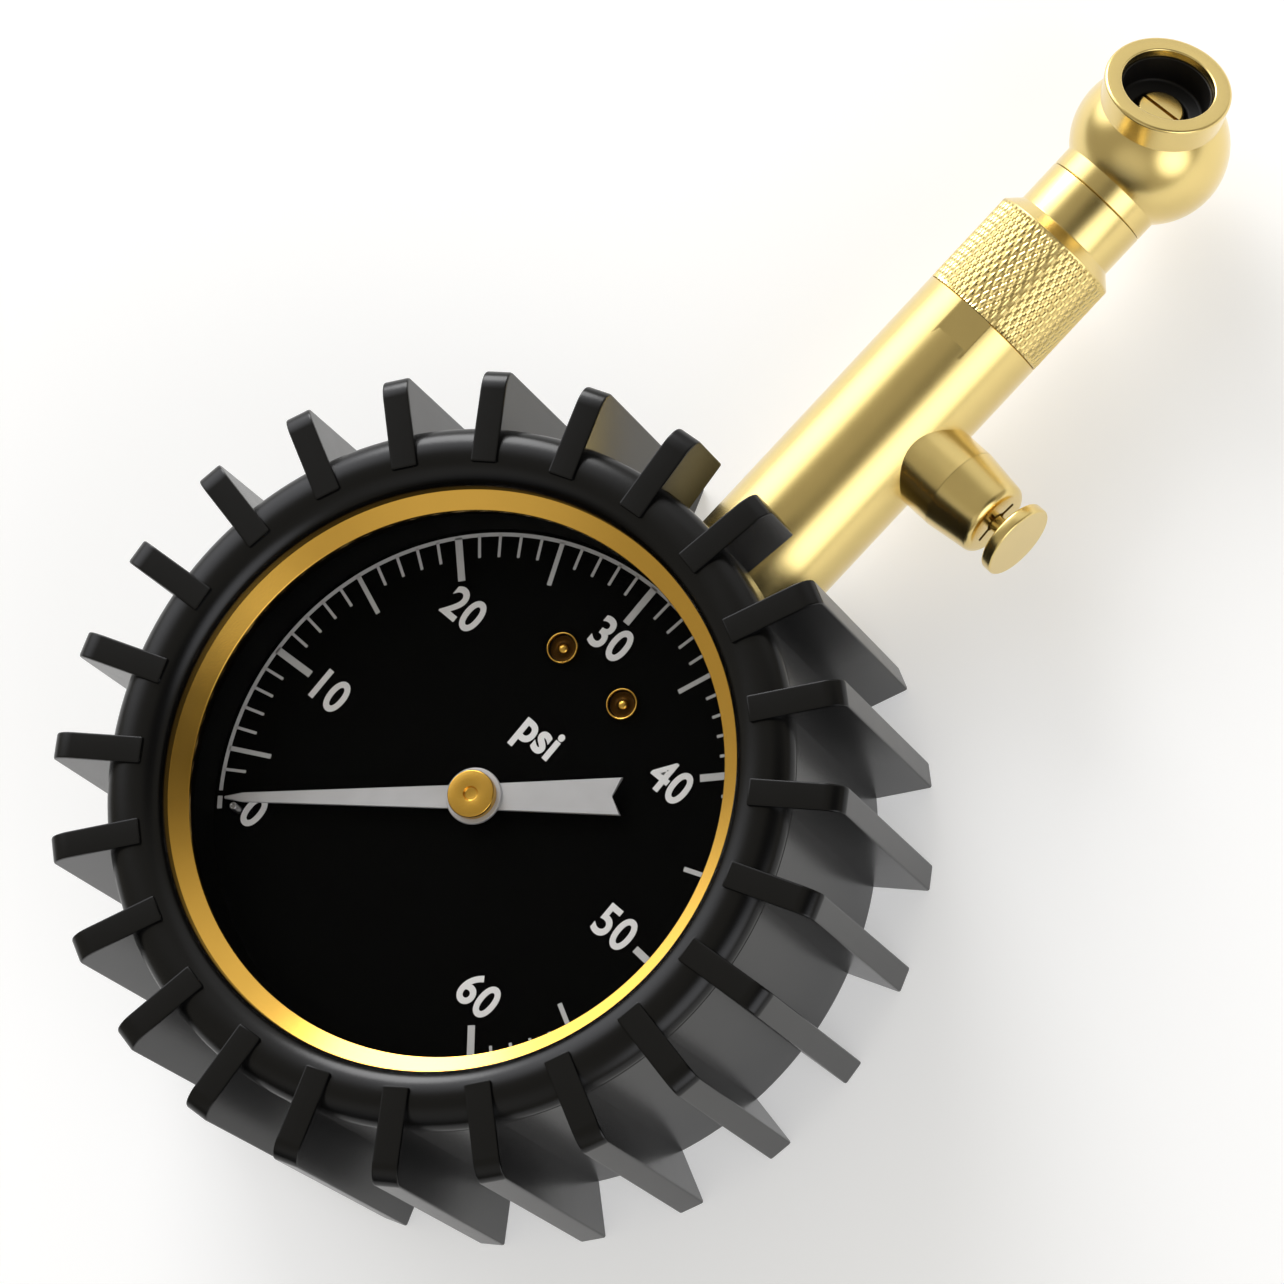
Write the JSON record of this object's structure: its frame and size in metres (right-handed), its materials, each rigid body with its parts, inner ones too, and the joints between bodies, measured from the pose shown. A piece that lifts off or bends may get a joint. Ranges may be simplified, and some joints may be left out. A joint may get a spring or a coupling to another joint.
{
  "type": "dial tyre pressure gauge",
  "caption": "Dial pressure gauge for tyres in a lugged rubber boot, with a plain brass stem, a side bleed button, a knurled collar and a swivelling ball head with an angled chuck.",
  "frame": {"origin": "on the dial's axis, at the flat back of the rubber boot", "axes": "+Z is the dial's normal, out of the lens; +Y runs along the stem from the dial to the chuck; +X is towards the bleed button"},
  "size_m": [0.0722, 0.1284, 0.0317],
  "materials": {
    "boot_rubber": "satin moulded",
    "bezel_gold": "satin",
    "satin_brass": "satin brushed",
    "steel": "plain",
    "pointer_silver": "matte silver",
    "dial_black": "gloss black",
    "spacer_black": "matte",
    "lens_clear": "clear",
    "seal_rubber": "matte",
    "spring_steel": "plain"
  },
  "bodies": {
    "gauge": {"rubber_boot": "boot_rubber", "bezel_ring": "bezel_gold", "case": "steel", "lens": "lens_clear", "lens_gasket": "seal_rubber", "spacer_ring": "spacer_black", "dial_plate": "dial_black", "dial_screw_left": "satin_brass", "dial_screw_right": "satin_brass", "stop_pin": "steel", "socket_block": "satin_brass", "stem_washer": "seal_rubber", "bourdon_tube": "satin_brass", "hairspring": "spring_steel", "hairspring_stud": "satin_brass", "movement_back_plate": "satin_brass", "movement_front_plate": "satin_brass", "movement_pillar_1": "satin_brass", "movement_pillar_2": "satin_brass", "movement_pillar_3": "satin_brass", "movement_pillar_4": "satin_brass", "movement_screw_1": "steel", "movement_screw_2": "steel", "stem_body": "satin_brass", "bleed_valve_cap": "satin_brass", "bleed_spring": "spring_steel", "knurled_collar": "satin_brass", "check_valve_spring": "spring_steel", "check_valve_retainer": "satin_brass", "swivel_o_ring": "seal_rubber", "swivel_clip": "spring_steel"},
    "pointer_set": {"pinion": "satin_brass", "pointer_arbor": "steel", "hairspring_collet": "satin_brass", "pointer": "pointer_silver", "pointer_boss": "pointer_silver", "hub_cap": "bezel_gold"},
    "sector": {"sector_gear": "satin_brass", "sector_arbor": "steel", "link_pin_sector": "steel"},
    "tube_end": {"tube_end_piece": "satin_brass", "link_pin_tube": "steel"},
    "link": {"link": "steel"},
    "bleed_button": {"bleed_button": "satin_brass", "bleed_o_ring": "seal_rubber"},
    "check_poppet": {"check_valve_poppet": "satin_brass"},
    "swivel_head": {"ball_head": "satin_brass", "chuck_nozzle": "satin_brass", "chuck_seal": "seal_rubber", "core_depressor": "satin_brass"}
  },
  "joints": [
    {"name": "pointer_turn", "type": "hinge", "parent": "gauge", "child": "pointer_set", "pos_m": [0, 0, 0.0213], "axis": [0, 0, -1], "range_deg": [0, 268], "stiffness_Nm_per_rad": 0.000002, "deforming": ["hairspring", "bourdon_tube"]},
    {"name": "sector_swing", "type": "hinge", "parent": "gauge", "child": "sector", "pos_m": [-0.012, 0, 0.008], "axis": [0, 0, 1], "range_deg": [0, 33.5]},
    {"name": "tube_end_swing", "type": "hinge", "parent": "gauge", "child": "tube_end", "pos_m": [0.0068, -0.0081, 0.0095], "axis": [0, 0, 1], "range_deg": [0, 6.45]},
    {"name": "link_swing", "type": "hinge", "parent": "tube_end", "child": "link", "pos_m": [-0.0151, 0.0098, 0.0095], "axis": [0, 0, 1], "range_deg": [0, 6.1]},
    {"name": "bleed_press", "type": "slide", "parent": "gauge", "child": "bleed_button", "axis": [-1, 0, 0], "range_m": [0, 0.0014], "stiffness_N_per_m": 600, "springref_m": -0.003, "deforming": ["bleed_spring"]},
    {"name": "check_poppet_slide", "type": "slide", "parent": "gauge", "child": "check_poppet", "axis": [0, -1, 0], "range_m": [0, 0.001], "stiffness_N_per_m": 150, "springref_m": -0.003, "deforming": ["check_valve_spring"]},
    {"name": "head_swivel", "type": "hinge", "parent": "gauge", "child": "swivel_head", "pos_m": [0, 0.0763, 0.01], "axis": [0, 1, 0], "continuous": true}
  ],
  "couplings": [
    {"joint": "sector_swing", "follows": "pointer_turn", "ratio": 0.125},
    {"joint": "tube_end_swing", "follows": "pointer_turn", "ratio": 0.024037},
    {"joint": "link_swing", "follows": "pointer_turn", "ratio": 0.022728}
  ]
}
